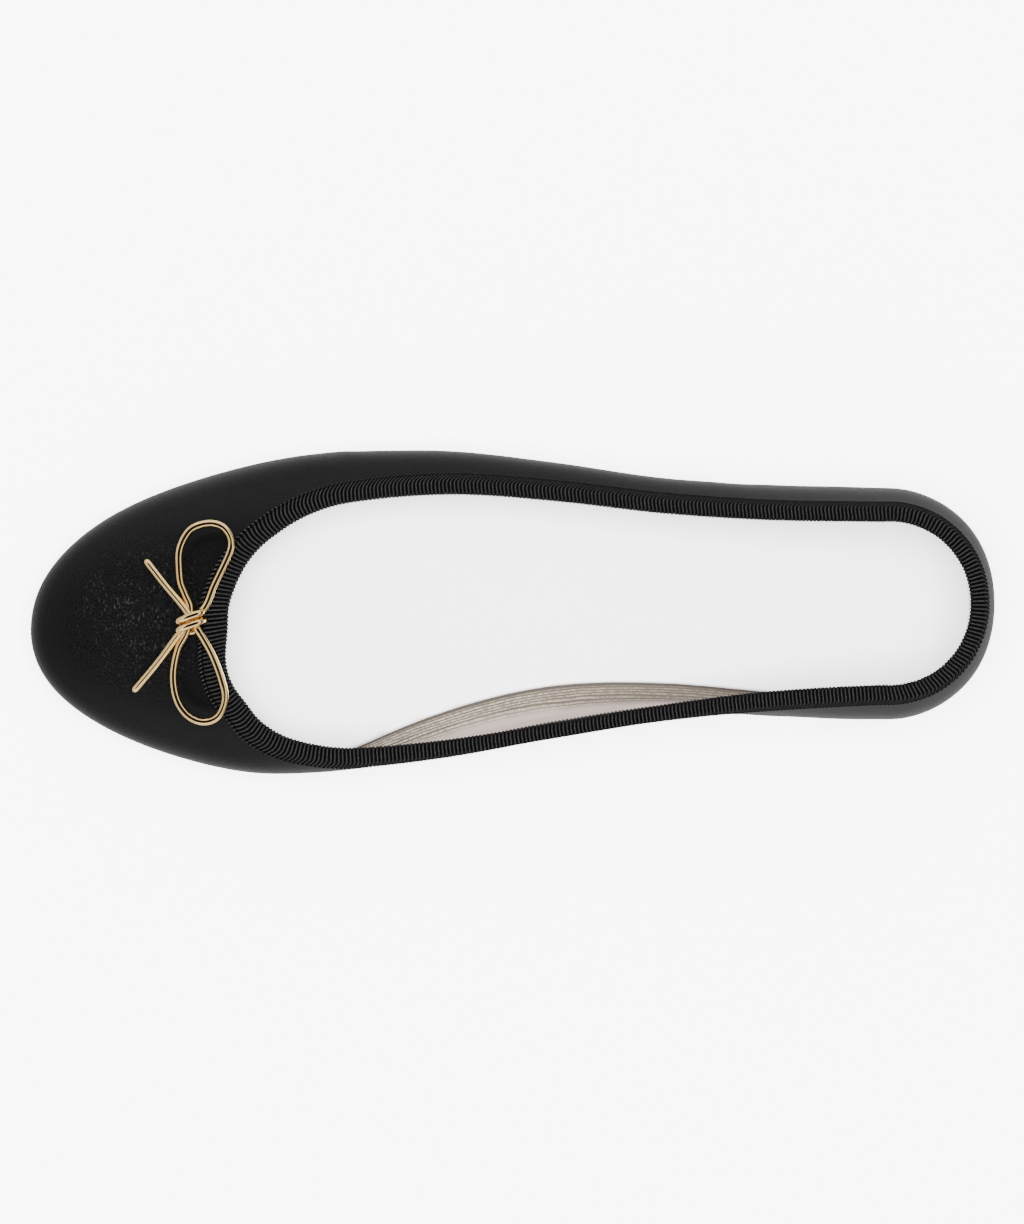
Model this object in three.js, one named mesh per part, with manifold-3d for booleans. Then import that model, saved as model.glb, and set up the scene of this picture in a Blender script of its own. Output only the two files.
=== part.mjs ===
// A ballet flat for the right foot: a low leather upper bound with grosgrain ribbon round its topline,
// a bow of gold wire on the vamp, a sock insole, a thin outsole and a low heel block.
// Millimetres, +Z up, +X towards the toe, +Y towards the inner side of the foot.
// The origin is on the floor, under the middle of the shoe.

import * as THREE from "three";
import Module from "manifold-3d";
import { mergeVertices } from "three/addons/utils/BufferGeometryUtils.js";

const wasm = await Module();
wasm.setup();

// Sizes of the last, over the outside of the leather.
const LENGTH = 245; // toe tip to heel back
const BALL_WIDTH = 83;
const HEEL_WIDTH = 59;
const TOE_REACH = 80; // toe tip back to the centre of the ball
const HEEL_REACH = 30; // heel back forward to the centre of the heel
const THROAT_HEIGHT = 36.5; // leather's edge at the front of the opening, over the floor
const BACK_HEIGHT = 57; // leather's edge at the back of the heel, over the floor

// Sizes of the bottom.
const OUTSOLE = 3; // thickness
const TOE_SPRING = 6; // rise of the outsole's underside at the toe tip
const HEEL_LIFT = 7; // height of the heel block
const HEEL_LENGTH = 50; // heel back to the front face of the heel block
const SPRING_START = 60; // toe tip back to where the tread meets the floor
const TREAD_LENGTH = 40; // flat stretch of the tread on the floor
const SOLE_MARGIN = 1.2; // how far the outsole stands out beyond the upper's bottom edge
const SOLE_BEVEL = 0.7;
const HEEL_TAPER = 1.6; // how far the heel block draws in from its top to the floor
const HEEL_INSET = 0.6; // heel block's top inside the outsole's edge
const INSOLE = 2.4; // thickness

// Sizes of the upper and of the ribbon folded over its edge.
const WALL = 1.8; // leather and lining together
const FOOT_EDGE = 2.3; // width of the wall's flat bottom edge
const RIBBON = 0.6; // thickness
const RIBBON_LEG = 6.5; // width of the ribbon on each side of the edge
const GAP = 0.3; // between touching pieces
const INSOLE_FIT = 0.6; // insole's edge inside the wall

// Sizes of the wire bow.
const BOW_SPAN = 52; // over both loops
const BOW_SETBACK = 9.3; // knot's centre ahead of the leather's edge at the throat
const BOW_ASIDE = 4.7; // knot's centre towards the inner side
const WIRE_RADIUS = 0.95;
const WRAP_RADIUS = 0.9;
const KNOT_SPREAD = 1.25; // knot's centre to the middle of the outer wires, under the wraps
const WRAP_TURNS = 2;
const WRAP_PITCH = 2.2; // one turn to the next
const WRAP_SLANT = 15; // degrees
const KNOT_LIFT_REACH = 13; // knot's centre to where the wires come down to the leather

// Facets.
const TOE_SECTIONS = 26;
const SIDE_SECTIONS = 14;
const HEEL_SECTIONS = 14;
const WIRE_SIDES = 8;
const WIRE_STEP = 2.1;
const TURN_STEPS = 14;

// Places round the shoe run from -0.5 at the outer ball, through 0 at the toe tip, round the inner side,
// the heel and the outer side to 3.5, which is the outer ball again.
const toe = (degrees) => degrees / 180; // plus is the inner side
const innerSide = (run) => 0.5 + run; // run is 0 at the ball and 1 at the heel's centre
const heel = (degrees) => 2 + degrees / 180; // 0 is the back, plus is the outer side
const outerSide = (run) => 3.5 - run;
const PLACES_ROUND = 4;

// The last, a row for each section. outline, feather and topline are reaches from the shoe's middle line to the widest
// point, the bottom edge and the top edge, as shares of the section's reach. belly is the height of the widest point
// as a share of the wall's, and edge is the topline's height as a share of the rise from the throat to the back.
// lean and rise are the slopes of the wall at its widest point and at its edge, in degrees from flat.
const SECTIONS = [
  { at: toe(-90), outline: 0.937, feather: 0.841, topline: 0.665, belly: 0.34, edge: -0.2, lean: 90, rise: 41 },
  { at: toe(-60), outline: 0.898, feather: 0.82, topline: 0.498, belly: 0.3, edge: -0.08, lean: 90, rise: 24 },
  { at: toe(-30), outline: 0.934, feather: 0.874, topline: 0.4, belly: 0.26, edge: -0.01, lean: 90, rise: 14 },
  { at: toe(0), outline: 0.996, feather: 0.944, topline: 0.385, belly: 0.25, edge: 0, lean: 90, rise: 12 },
  { at: toe(30), outline: 1.072, feather: 1.014, topline: 0.455, belly: 0.26, edge: -0.01, lean: 90, rise: 14 },
  { at: toe(60), outline: 1.086, feather: 1.011, topline: 0.697, belly: 0.3, edge: -0.12, lean: 90, rise: 30 },
  { at: toe(75), outline: 1.081, feather: 0.995, topline: 0.878, belly: 0.34, edge: -0.2, lean: 90, rise: 52 },
  { at: toe(90), outline: 1.023, feather: 0.905, topline: 0.949, belly: 0.36, edge: -0.25, lean: 91, rise: 68 },
  { at: innerSide(0.2), outline: 0.962, feather: 0.62, topline: 0.954, belly: 0.38, edge: -0.18, lean: 97, rise: 84 },
  { at: innerSide(0.4), outline: 0.845, feather: 0.48, topline: 0.899, belly: 0.3, edge: -0.02, lean: 101, rise: 93 },
  { at: innerSide(0.6), outline: 0.81, feather: 0.545, topline: 0.831, belly: 0.3, edge: 0.2, lean: 96, rise: 88 },
  { at: innerSide(0.8), outline: 0.897, feather: 0.7, topline: 0.784, belly: 0.33, edge: 0.5, lean: 90, rise: 77 },
  { at: heel(-90), outline: 1, feather: 0.847, topline: 0.79, belly: 0.36, edge: 0.8, lean: 90, rise: 70 },
  { at: heel(-45), outline: 1.03, feather: 0.875, topline: 0.85, belly: 0.38, edge: 0.96, lean: 90, rise: 73 },
  { at: heel(0), outline: 1, feather: 0.84, topline: 0.87, belly: 0.38, edge: 1, lean: 90, rise: 76 },
  { at: heel(45), outline: 1.03, feather: 0.875, topline: 0.85, belly: 0.38, edge: 0.96, lean: 90, rise: 72 },
  { at: heel(90), outline: 1, feather: 0.847, topline: 0.79, belly: 0.36, edge: 0.78, lean: 90, rise: 68 },
  { at: outerSide(0.8), outline: 0.947, feather: 0.803, topline: 0.743, belly: 0.34, edge: 0.46, lean: 90, rise: 62 },
  { at: outerSide(0.6), outline: 0.933, feather: 0.796, topline: 0.738, belly: 0.33, edge: 0.15, lean: 90, rise: 55 },
  { at: outerSide(0.4), outline: 0.978, feather: 0.845, topline: 0.771, belly: 0.33, edge: -0.07, lean: 90, rise: 50 },
  { at: outerSide(0.2), outline: 0.995, feather: 0.885, topline: 0.767, belly: 0.34, edge: -0.2, lean: 90, rise: 46 },
];

// The bow's wire, seen from above, in shares of its span: ahead is towards the toe and aside towards the inner side.
// One wire runs from the outer tail through the knot and round the inner loop, then back round the outer loop
// to the inner tail. It is in three lengths, because it crosses itself at the knot.
const WIRE_RUNS = [
  [
    { ahead: 0.226, aside: -0.302 },
    { ahead: 0.137, aside: -0.188 },
    { ahead: 0.056, aside: -0.085 },
    { ahead: 0.017, aside: -0.045 },
    { ahead: -0.017, aside: 0.045 },
    { ahead: -0.056, aside: 0.088 },
    { ahead: -0.09, aside: 0.139 },
    { ahead: -0.123, aside: 0.213 },
    { ahead: -0.149, aside: 0.286 },
    { ahead: -0.164, aside: 0.353 },
    { ahead: -0.156, aside: 0.412 },
    { ahead: -0.127, aside: 0.463 },
    { ahead: -0.082, aside: 0.487 },
    { ahead: -0.031, aside: 0.485 },
  ],
  [
    { ahead: -0.05, aside: 0.489 },
    { ahead: -0.031, aside: 0.485 },
    { ahead: 0.021, aside: 0.456 },
    { ahead: 0.061, aside: 0.404 },
    { ahead: 0.083, aside: 0.345 },
    { ahead: 0.09, aside: 0.272 },
    { ahead: 0.083, aside: 0.198 },
    { ahead: 0.065, aside: 0.125 },
    { ahead: 0.016, aside: 0.048 },
    { ahead: 0.003, aside: 0 },
    { ahead: 0.008, aside: -0.048 },
    { ahead: 0.035, aside: -0.133 },
    { ahead: 0.053, aside: -0.192 },
    { ahead: 0.062, aside: -0.265 },
    { ahead: 0.061, aside: -0.339 },
    { ahead: 0.043, aside: -0.398 },
    { ahead: 0.006, aside: -0.45 },
    { ahead: -0.046, aside: -0.475 },
  ],
  [
    { ahead: -0.02, aside: -0.466 },
    { ahead: -0.046, aside: -0.475 },
    { ahead: -0.105, aside: -0.48 },
    { ahead: -0.156, aside: -0.461 },
    { ahead: -0.189, aside: -0.416 },
    { ahead: -0.194, aside: -0.368 },
    { ahead: -0.175, aside: -0.309 },
    { ahead: -0.112, aside: -0.177 },
    { ahead: -0.066, aside: -0.1 },
    { ahead: -0.017, aside: -0.045 },
    { ahead: 0.017, aside: 0.045 },
    { ahead: 0.066, aside: 0.085 },
    { ahead: 0.162, aside: 0.192 },
    { ahead: 0.289, aside: 0.342 },
  ],
];

const mix = THREE.MathUtils.lerp;
const smooth = THREE.MathUtils.smoothstep;
const radians = THREE.MathUtils.degToRad;

// One column of the table at any place, on a smooth curve through its rows.
function columnAt(column, place) {
  const first = SECTIONS[0].at;
  const turned = first + ((((place - first) % PLACES_ROUND) + PLACES_ROUND) % PLACES_ROUND);
  const count = SECTIONS.length;
  const rowAt = (i) => {
    const turns = Math.floor(i / count);
    const row = SECTIONS[i - turns * count];
    return { at: row.at + turns * PLACES_ROUND, value: row[column] };
  };
  let i = count - 1;
  while (rowAt(i).at > turned) i -= 1;
  const [before, start, end, after] = [rowAt(i - 1), rowAt(i), rowAt(i + 1), rowAt(i + 2)];
  const width = end.at - start.at;
  const t = (turned - start.at) / width;
  const startSlope = ((end.value - before.value) / (end.at - before.at)) * width;
  const endSlope = ((after.value - start.value) / (after.at - start.at)) * width;
  const bend = 3 * (end.value - start.value) - 2 * startSlope - endSlope;
  const twist = 2 * (start.value - end.value) + startSlope + endSlope;
  return start.value + t * (startSlope + t * (bend + t * twist));
}

// Where a section starts on the middle line, and the vector of its full reach across the floor.
function stance(place) {
  const toeX = LENGTH / 2;
  const ballX = toeX - TOE_REACH;
  const heelX = HEEL_REACH - toeX;
  const turned = place > 3.5 ? place - PLACES_ROUND : place;
  if (turned <= toe(90)) {
    const angle = turned * Math.PI;
    return {
      foot: new THREE.Vector2(ballX, 0),
      reach: new THREE.Vector2(TOE_REACH * Math.cos(angle), (BALL_WIDTH / 2) * Math.sin(angle)),
    };
  }
  if (turned >= heel(-90) && turned <= heel(90)) {
    const angle = (turned - heel(0)) * Math.PI;
    return {
      foot: new THREE.Vector2(heelX, 0),
      reach: new THREE.Vector2(-HEEL_REACH * Math.cos(angle), (-HEEL_WIDTH / 2) * Math.sin(angle)),
    };
  }
  const inner = turned < heel(0);
  const run = inner ? turned - innerSide(0) : outerSide(0) - turned;
  const half = mix(BALL_WIDTH, HEEL_WIDTH, run) / 2;
  return {
    foot: new THREE.Vector2(mix(ballX, heelX, run), 0),
    reach: new THREE.Vector2(0, inner ? half : -half),
  };
}

// Height of the outsole's underside: up at the toe, on the floor under the ball, and up through the waist to the heel.
function underside(x) {
  const behindToe = LENGTH / 2 - x;
  const spring = Math.max(0, SPRING_START - behindToe) / SPRING_START;
  const treadEnd = SPRING_START + TREAD_LENGTH;
  const seatStart = LENGTH - HEEL_LENGTH;
  return TOE_SPRING * spring ** 2 + HEEL_LIFT * smooth(behindToe, treadEnd, seatStart);
}

// The outside of the wall in one section: points of distance and height from the bottom edge up to the top edge.
// The last two steps are half the ribbon's width each, so that the ribbon lies along the same facets.
const BELLY_STEPS = 3;
const WALL_STEPS = 6;
const FINE_STEPS = 48;
const BOTTOM_SPREAD = 0.7;
const BOTTOM_RISE = 0.15;
const PULL = 0.5;

function sectionLine(place) {
  const { foot, reach } = stance(place);
  const full = reach.length();
  const out = reach.clone().normalize();
  const column = (name) => columnAt(name, place);
  const feather = new THREE.Vector2(column("feather") * full, 0);
  feather.y = underside(foot.x + out.x * feather.x) + OUTSOLE + GAP;
  const edgeHeight = mix(THROAT_HEIGHT, BACK_HEIGHT, column("edge"));
  const edge = new THREE.Vector2(column("topline") * full, edgeHeight);
  const belly = new THREE.Vector2(column("outline") * full, mix(feather.y, edge.y, column("belly")));
  const slope = (degrees) => new THREE.Vector2(-Math.cos(radians(degrees)), Math.sin(radians(degrees)));
  const lean = slope(column("lean"));
  const rise = slope(column("rise"));
  const lower = new THREE.CubicBezierCurve(
    feather,
    new THREE.Vector2(
      mix(feather.x, belly.x, BOTTOM_SPREAD),
      mix(feather.y, belly.y, BOTTOM_RISE),
    ),
    belly.clone().addScaledVector(lean, -PULL * (belly.y - feather.y)),
    belly,
  );
  const upper = new THREE.CubicBezierCurve(
    belly,
    belly.clone().addScaledVector(lean, PULL * (edge.y - belly.y)),
    edge.clone().addScaledVector(rise, -PULL * edge.distanceTo(belly)),
    edge,
  );
  upper.arcLengthDivisions = FINE_STEPS;
  const points = [];
  for (let i = 0; i < BELLY_STEPS; i += 1) points.push(lower.getPoint(i / BELLY_STEPS));
  const length = upper.getLength();
  const legStart = upper.getUtoTmapping(1 - RIBBON_LEG / length);
  for (let i = 0; i <= WALL_STEPS; i += 1) points.push(upper.getPoint((legStart * i) / WALL_STEPS));
  points.push(upper.getPointAt(1 - RIBBON_LEG / 2 / length), edge);
  return { foot, out, points, upper };
}

// A list of the section places, close together where the shoe turns.
const PLACES = [];
const stretches = [
  { from: toe(-90), to: toe(90), count: TOE_SECTIONS },
  { from: innerSide(0), to: innerSide(1), count: SIDE_SECTIONS },
  { from: heel(-90), to: heel(90), count: HEEL_SECTIONS },
  { from: outerSide(1), to: outerSide(0), count: SIDE_SECTIONS },
];
for (const { from, to, count } of stretches) {
  for (let i = 0; i < count; i += 1) PLACES.push(mix(from, to, i / count));
}
const LINES = PLACES.map(sectionLine);

function lift(line, point) {
  return new THREE.Vector3(line.foot.x + line.out.x * point.x, line.foot.y + line.out.y * point.x, point.y);
}

// A closed solid from points and triangles, with its faces turned to point out.
function solid(points, triangles) {
  const positions = new Float32Array(points.flatMap((p) => [p.x, p.y, p.z]));
  const geometry = new THREE.BufferGeometry();
  geometry.setAttribute("position", new THREE.BufferAttribute(positions, 3));
  geometry.setIndex(triangles.flat());
  const merged = mergeVertices(geometry, 1e-4);
  const index = [...merged.index.array];
  const kept = [];
  let volume = 0;
  const corner = [new THREE.Vector3(), new THREE.Vector3(), new THREE.Vector3()];
  for (let i = 0; i < index.length; i += 3) {
    const [a, b, c] = index.slice(i, i + 3);
    if (a === b || b === c || c === a) continue;
    corner.forEach((v, k) => v.fromBufferAttribute(merged.attributes.position, [a, b, c][k]));
    volume += corner[0].dot(corner[1].clone().cross(corner[2]));
    kept.push([a, b, c]);
  }
  merged.setIndex((volume < 0 ? kept.map(([a, b, c]) => [a, c, b]) : kept).flat());
  return merged;
}

// Triangles between rings of points. Each ring closes on itself, and the last joins the first where they make a loop.
// Every diagonal climbs as it goes round the shoe, so that faces that lie together are folded alike.
function ringTriangles(rings, loops) {
  const around = rings[0].length;
  const triangles = [];
  const last = loops ? rings.length : rings.length - 1;
  for (let j = 0; j < last; j += 1) {
    const below = j * around;
    const above = ((j + 1) % rings.length) * around;
    const climbs = (i) => rings[(j + 1) % rings.length][i].z >= rings[j][i].z;
    for (let i = 0; i < around; i += 1) {
      const side = (i + 1) % around;
      if (climbs(i)) {
        triangles.push([below + i, below + side, above + side], [below + i, above + side, above + i]);
      } else {
        triangles.push([below + i, below + side, above + i], [below + side, above + side, above + i]);
      }
    }
  }
  return triangles;
}

function ringSolid(rings, loops) {
  return solid(rings.flat(), ringTriangles(rings, loops));
}

// The upper: the outside rings from the bottom edge to the topline, and the inside rings a wall's thickness in.
const ringCount = LINES[0].points.length;
const topRing = ringCount - 1;
const outside = [];
for (let j = 0; j < ringCount; j += 1) outside.push(LINES.map((line) => lift(line, line.points[j])));

// The step in the section's own plane that moves the face out by one millimetre.
function outwardAt(j, i) {
  const around = LINES.length;
  const ahead = outside[j][(i + 1) % around];
  const behind = outside[j][(i + around - 1) % around];
  const above = outside[Math.min(j + 1, topRing)][i];
  const below = outside[Math.max(j - 1, 0)][i];
  const normal = ahead.clone().sub(behind).cross(above.clone().sub(below)).normalize();
  const { out } = LINES[i];
  const sideways = new THREE.Vector3(-out.y, out.x, 0);
  normal.addScaledVector(sideways, -normal.dot(sideways));
  return normal.divideScalar(normal.lengthSq());
}

const outward = outside.map((ring, j) => ring.map((_, i) => outwardAt(j, i)));
const inside = outside.map((ring, j) =>
  ring.map((point, i) => {
    if (j > 0) return point.clone().addScaledVector(outward[j][i], -WALL);
    const { foot, out, points } = LINES[i];
    const reach = points[0].x - FOOT_EDGE;
    return lift(LINES[i], new THREE.Vector2(reach, underside(foot.x + out.x * reach) + OUTSOLE + GAP));
  }),
);
const upperGeometry = ringSolid([...outside, ...inside.slice().reverse()], true);

// The ribbon: folded over the topline, with a leg down each side of the wall.
function ribbonRings() {
  const legs = [topRing - 2, topRing - 1, topRing];
  const near = GAP;
  const far = GAP + RIBBON;
  const ring = (at) => LINES.map((_, i) => at(i));
  const outer = (j, gap) => ring((i) => outside[j][i].clone().addScaledVector(outward[j][i], gap));
  const inner = (j, gap) => ring((i) => inside[j][i].clone().addScaledVector(outward[j][i], -gap));
  const crest = (i, sideways, gap) => {
    const rim = outside[topRing][i];
    const onward = rim.clone().sub(outside[topRing - 1][i]).normalize();
    const base = sideways < 0 ? inside[topRing][i] : rim;
    return base.clone().addScaledVector(onward, gap).addScaledVector(outward[topRing][i], sideways);
  };
  const fold = Math.SQRT1_2 * far;
  return [
    ...legs.map((j) => outer(j, far)),
    ring((i) => crest(i, fold, fold)),
    ring((i) => crest(i, 0, far).addScaledVector(outward[topRing][i], -WALL / 2)),
    ring((i) => crest(i, -fold, fold)),
    ...legs.slice().reverse().map((j) => inner(j, far)),
    inner(legs[0], near),
    inner(legs[1], near),
    ring((i) => crest(i, -near, near)),
    ring((i) => crest(i, near, near)),
    outer(legs[1], near),
    outer(legs[0], near),
  ];
}

const bindingGeometry = ringSolid(ribbonRings(), true);

// Flat pieces under the foot are closed over the middle line by rows of points at these shares of their reach.
const PLATE_SHARES = [0, 0.35, 0.65, 0.85];

function plateSolid(rims, topAt, bottomAt) {
  const cover = (share, rim, heightAt) =>
    LINES.map((line, i) => {
      const reach = share * rim[i].x;
      const x = line.foot.x + line.out.x * reach;
      return new THREE.Vector3(x, line.foot.y + line.out.y * reach, heightAt(x));
    });
  const rimRings = rims.map((rim) => LINES.map((line, i) => lift(line, rim[i])));
  const top = PLATE_SHARES.map((share) => cover(share, rims[0], topAt));
  const bottom = PLATE_SHARES.map((share) => cover(share, rims.at(-1), bottomAt)).reverse();
  return ringSolid([...top, ...rimRings, ...bottom], false);
}

// A rim of a flat piece: a reach for each section, at the height that the plate has there.
function rimAt(reachOf, heightAt) {
  return LINES.map((line, i) => {
    const reach = reachOf(line, i);
    return new THREE.Vector2(reach, heightAt(line.foot.x + line.out.x * reach));
  });
}

const treadAt = (x) => underside(x);
const seatAt = (x) => underside(x) + OUTSOLE;
const soleReach = (inset) => (line) => line.points[0].x + SOLE_MARGIN - inset;
const outsoleGeometry = plateSolid(
  [
    rimAt(soleReach(SOLE_BEVEL), seatAt),
    rimAt(soleReach(0), (x) => seatAt(x) - SOLE_BEVEL),
    rimAt(soleReach(0), (x) => treadAt(x) + SOLE_BEVEL),
    rimAt(soleReach(SOLE_BEVEL), treadAt),
  ],
  seatAt,
  treadAt,
);

// The insole lies on the outsole, inside the wall, and follows the wall's inside face up its own edge.
const insoleBase = (x) => seatAt(x) + GAP;
const insoleTop = (x) => insoleBase(x) + INSOLE;

function innerReach(i, heightAt) {
  const line = LINES[i];
  const along = (point) => new THREE.Vector2(point.x - line.foot.x, point.y - line.foot.y).dot(line.out);
  const over = (point) => point.z - heightAt(point.x);
  let j = 1;
  while (over(inside[j][i]) < 0) j += 1;
  const low = inside[j - 1][i];
  const high = inside[j][i];
  const share = Math.max(0, -over(low)) / (over(high) - over(low));
  return mix(along(low), along(high), share) - INSOLE_FIT;
}

const insoleGeometry = plateSolid(
  [rimAt((_, i) => innerReach(i, insoleTop), insoleTop), rimAt((_, i) => innerReach(i, insoleBase), insoleBase)],
  insoleTop,
  insoleBase,
);

// The heel block stands under the outsole behind a straight front face, and draws in a little towards the floor.
const heelFront = HEEL_LENGTH - LENGTH / 2;
const heelLines = LINES.filter((line) => line.foot.x + line.out.x * line.points[0].x < heelFront - HEEL_TAPER);

function heelRing(inset, height) {
  const ring = heelLines.map((line) => lift(line, new THREE.Vector2(soleReach(inset)(line), height)));
  const front = [ring[0].clone(), ring.at(-1).clone()];
  front.forEach((point) => point.setX(heelFront - inset));
  return [front[0], ...ring, front[1]];
}

function heelSolid() {
  const top = HEEL_LIFT - GAP;
  const rings = [
    heelRing(HEEL_INSET, top),
    heelRing(HEEL_INSET + HEEL_TAPER - SOLE_BEVEL, SOLE_BEVEL),
    heelRing(HEEL_INSET + HEEL_TAPER, 0),
  ];
  const around = rings[0].length;
  const lowest = (rings.length - 1) * around;
  const lid = THREE.ShapeUtils.triangulateShape(rings[0].map((point) => new THREE.Vector2(point.x, point.y)), []);
  const foot = lid.map(([a, b, c]) => [lowest + a, lowest + c, lowest + b]);
  const walls = ringTriangles(rings, false).map(([a, b, c]) => [a, c, b]);
  return solid(rings.flat(), [...lid, ...walls, ...foot]);
}

// The bow lies on the vamp. A point over the vamp has the height of the leather there, or of the ribbon near the edge.
function vampHeight(x, y) {
  const ballX = LENGTH / 2 - TOE_REACH;
  const place = Math.atan2(y / (BALL_WIDTH / 2), (x - ballX) / TOE_REACH) / Math.PI;
  const line = sectionLine(place);
  const reach = Math.hypot(x - line.foot.x, y - line.foot.y);
  const fine = line.upper.getPoints(FINE_STEPS);
  let i = 1;
  while (i < fine.length - 1 && fine[i].x > reach) i += 1;
  const share = (reach - fine[i - 1].x) / (fine[i].x - fine[i - 1].x);
  return { height: mix(fine[i - 1].y, fine[i].y, share), inFromEdge: reach - fine.at(-1).x };
}

const PROBE = 0.5;
const RIBBON_RAMP = 3;

function vampNormal(x, y) {
  return new THREE.Vector3(
    vampHeight(x - PROBE, y).height - vampHeight(x + PROBE, y).height,
    vampHeight(x, y - PROBE).height - vampHeight(x, y + PROBE).height,
    2 * PROBE,
  ).normalize();
}

function seatOn(x, y, clearance) {
  const { height, inFromEdge } = vampHeight(x, y);
  const onRibbon = 1 - smooth(inFromEdge, RIBBON_LEG + 1, RIBBON_LEG + 1 + RIBBON_RAMP);
  const over = clearance + onRibbon * (GAP + RIBBON);
  return new THREE.Vector3(x, y, height).addScaledVector(vampNormal(x, y), over);
}

const throat = lift(sectionLine(toe(0)), sectionLine(toe(0)).points[topRing]);
const knotPlace = new THREE.Vector2(throat.x + BOW_SETBACK, BOW_ASIDE);
const wrapRound = WIRE_RADIUS + GAP + WRAP_RADIUS;
const wrapReach = KNOT_SPREAD + wrapRound;

// At the knot the wires cross in one plane, over the wraps that pass beneath them.
const knotUp = vampNormal(knotPlace.x, knotPlace.y);
const knotAside = new THREE.Vector3(0, 1, 0).addScaledVector(knotUp, -knotUp.y).normalize();
const knotAhead = knotAside.clone().cross(knotUp);
const knotCentre = seatOn(knotPlace.x, knotPlace.y, GAP + WRAP_RADIUS + wrapRound);

function knotPoint(ahead, aside, above) {
  return knotCentre.clone()
    .addScaledVector(knotAhead, ahead)
    .addScaledVector(knotAside, aside)
    .addScaledVector(knotUp, above);
}

function wirePoint(fromKnot) {
  const near = 1 - smooth(fromKnot.length(), wrapReach, KNOT_LIFT_REACH);
  const seated = seatOn(knotPlace.x + fromKnot.x, knotPlace.y + fromKnot.y, GAP + WIRE_RADIUS);
  return seated.lerp(knotPoint(fromKnot.x, fromKnot.y, 0), near);
}

function tube(path, radius, steps) {
  const section = new THREE.Shape();
  section.absarc(0, 0, radius, 0, 2 * Math.PI);
  const curveSegments = WIRE_SIDES / 2;
  const geometry = new THREE.ExtrudeGeometry(section, { curveSegments, steps, extrudePath: path });
  geometry.deleteAttribute("normal");
  geometry.deleteAttribute("uv");
  return mergeVertices(geometry, 1e-4);
}

function wire(run) {
  const plan = new THREE.SplineCurve(
    run.map(({ ahead, aside }) => new THREE.Vector2(ahead * BOW_SPAN, aside * BOW_SPAN)),
  );
  const steps = Math.round(plan.getLength() / WIRE_STEP);
  return tube(new THREE.CatmullRomCurve3(plan.getSpacedPoints(steps).map(wirePoint)), WIRE_RADIUS, steps);
}

function manifoldOf(geometry) {
  return new wasm.Manifold(
    new wasm.Mesh({
      numProp: 3,
      vertProperties: geometry.attributes.position.array,
      triVerts: new Uint32Array(geometry.index.array),
    }),
  );
}

function geometryOf(manifold) {
  const { vertProperties, triVerts } = manifold.getMesh();
  const geometry = new THREE.BufferGeometry();
  geometry.setAttribute("position", new THREE.BufferAttribute(new Float32Array(vertProperties), 3));
  geometry.setIndex([...triVerts]);
  return geometry;
}

const bowGeometry = geometryOf(WIRE_RUNS.map((run) => manifoldOf(wire(run))).reduce((joined, next) => joined.add(next)));

// The wire wound round the knot: a flat coil about the crossing wires, slanted as it was wound.
const FLAT_STRETCH = 1.6;

function wrapPoints() {
  const slant = Math.tan(radians(WRAP_SLANT));
  const points = [];
  const total = WRAP_TURNS * TURN_STEPS;
  for (let i = 0; i <= total; i += 1) {
    const turn = (i / TURN_STEPS) * 2 * Math.PI;
    const flat = KNOT_SPREAD * THREE.MathUtils.clamp(FLAT_STRETCH * Math.sin(turn), -1, 1);
    const across = flat + wrapRound * Math.sin(turn);
    const along = (i / total - 0.5) * WRAP_TURNS * WRAP_PITCH + across * slant;
    points.push(knotPoint(across, along, -wrapRound * Math.cos(turn)));
  }
  return points;
}

const wrapPath = new THREE.CatmullRomCurve3(wrapPoints());
const wrapGeometry = tube(wrapPath, WRAP_RADIUS, WRAP_TURNS * TURN_STEPS);

const leather = new THREE.MeshStandardMaterial({ color: 0x161618, roughness: 0.42, metalness: 0 });
const grosgrain = new THREE.MeshStandardMaterial({ color: 0x1b1b1c, roughness: 0.8, metalness: 0 });
const sock = new THREE.MeshStandardMaterial({ color: 0xecebee, roughness: 0.6, metalness: 0 });
const rubber = new THREE.MeshStandardMaterial({ color: 0x1c1b1b, roughness: 0.7, metalness: 0 });
const gold = new THREE.MeshStandardMaterial({ color: 0xd9bd8b, roughness: 0.2, metalness: 1 });

const pieces = [
  { name: "upper", geometry: upperGeometry, material: leather },
  { name: "binding", geometry: bindingGeometry, material: grosgrain },
  { name: "insole", geometry: insoleGeometry, material: sock },
  { name: "outsole", geometry: outsoleGeometry, material: rubber },
  { name: "heel", geometry: heelSolid(), material: rubber },
  { name: "bow", geometry: bowGeometry, material: gold },
  { name: "bow_wrap", geometry: wrapGeometry, material: gold },
];

const shoe = new THREE.Group();
for (const { name, geometry, material } of pieces) {
  const mesh = new THREE.Mesh(geometry, material);
  mesh.name = name;
  shoe.add(mesh);
}
const box = new THREE.Box3().setFromObject(shoe);
const middle = box.getCenter(new THREE.Vector3());
shoe.position.set(-middle.x, -middle.y, -box.min.z);

export default shoe;
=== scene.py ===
import math

import bmesh
import bpy
import numpy as np
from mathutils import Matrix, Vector
from mathutils.bvhtree import BVHTree


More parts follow.
